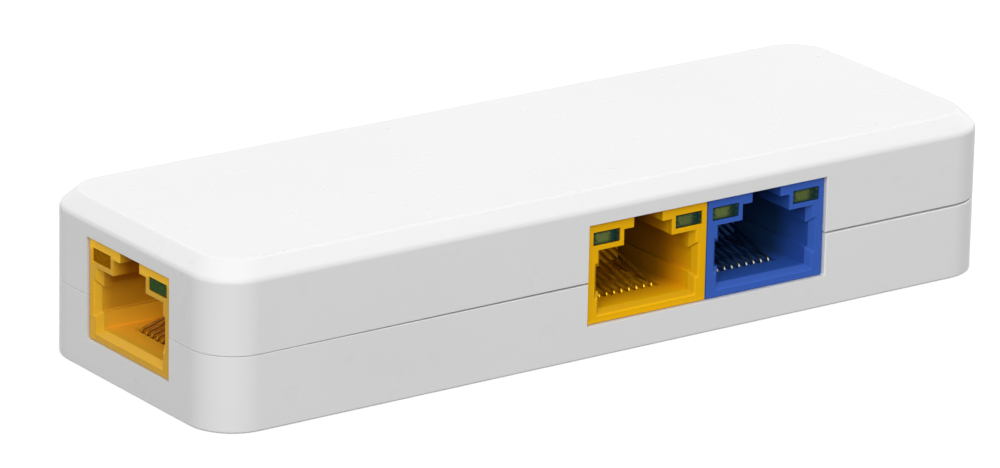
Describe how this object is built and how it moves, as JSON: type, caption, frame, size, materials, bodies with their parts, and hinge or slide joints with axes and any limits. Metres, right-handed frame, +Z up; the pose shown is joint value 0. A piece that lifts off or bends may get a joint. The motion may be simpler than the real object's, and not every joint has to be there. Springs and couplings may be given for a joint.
{
  "type": "poe injector",
  "caption": "Desktop power-over-Ethernet injector: bevelled two-shell box with modular jacks in one end and the front, and a barrel power inlet.",
  "frame": {"origin": "middle of the flat underside, on the surface that the box stands on", "axes": "+X along the long side towards the barrel inlet, -Y out of the front with the pair of jacks, +Z up; the end jack faces -X"},
  "size_m": [0.1042, 0.0352, 0.0188],
  "materials": {
    "shell_white": "fine satin moulded white",
    "jack_yellow": "semi-gloss moulded amber yellow",
    "jack_blue": "semi-gloss moulded blue",
    "contact_gold": "pale gold-plated spring wire",
    "indicator_lens": "unlit smoky green lens",
    "board_green": "green solder mask",
    "steel": "bright plated steel",
    "package_black": "matte black moulding",
    "capacitor_can": "aluminium can with a sleeve",
    "ferrite_grey": "sintered dark grey",
    "fuse_green": "coated polymer fuse"
  },
  "bodies": {
    "root": {"base_shell": "shell_white", "top_cover": "shell_white", "main_board": "board_green", "case_screw_1": "steel", "case_screw_2": "steel", "case_screw_3": "steel", "case_screw_4": "steel", "end_jack_housing": "jack_yellow", "end_jack_insert": "jack_yellow", "end_jack_contact_1": "contact_gold", "end_jack_contact_2": "contact_gold", "end_jack_contact_3": "contact_gold", "end_jack_contact_4": "contact_gold", "end_jack_contact_5": "contact_gold", "end_jack_contact_6": "contact_gold", "end_jack_contact_7": "contact_gold", "end_jack_contact_8": "contact_gold", "end_jack_light_left": "indicator_lens", "end_jack_light_right": "indicator_lens", "front_left_jack_housing": "jack_yellow", "front_left_jack_insert": "jack_yellow", "front_left_jack_contact_1": "contact_gold", "front_left_jack_contact_2": "contact_gold", "front_left_jack_contact_3": "contact_gold", "front_left_jack_contact_4": "contact_gold", "front_left_jack_contact_5": "contact_gold", "front_left_jack_contact_6": "contact_gold", "front_left_jack_contact_7": "contact_gold", "front_left_jack_contact_8": "contact_gold", "front_left_jack_light_left": "indicator_lens", "front_left_jack_light_right": "indicator_lens", "front_right_jack_housing": "jack_blue", "front_right_jack_insert": "jack_blue", "front_right_jack_contact_1": "contact_gold", "front_right_jack_contact_2": "contact_gold", "front_right_jack_contact_3": "contact_gold", "front_right_jack_contact_4": "contact_gold", "front_right_jack_contact_5": "contact_gold", "front_right_jack_contact_6": "contact_gold", "front_right_jack_contact_7": "contact_gold", "front_right_jack_contact_8": "contact_gold", "front_right_jack_light_left": "indicator_lens", "front_right_jack_light_right": "indicator_lens", "supply_jack_housing": "package_black", "supply_jack_pin": "steel", "supply_jack_spring": "steel", "data_transformer_1": "package_black", "data_transformer_2": "package_black", "power_controller": "package_black", "power_switch": "package_black", "rectifier": "package_black", "output_diode": "package_black", "filter_capacitor": "capacitor_can", "bulk_capacitor": "capacitor_can", "output_capacitor": "capacitor_can", "power_inductor": "ferrite_grey", "input_fuse": "fuse_green"}
  },
  "joints": []
}
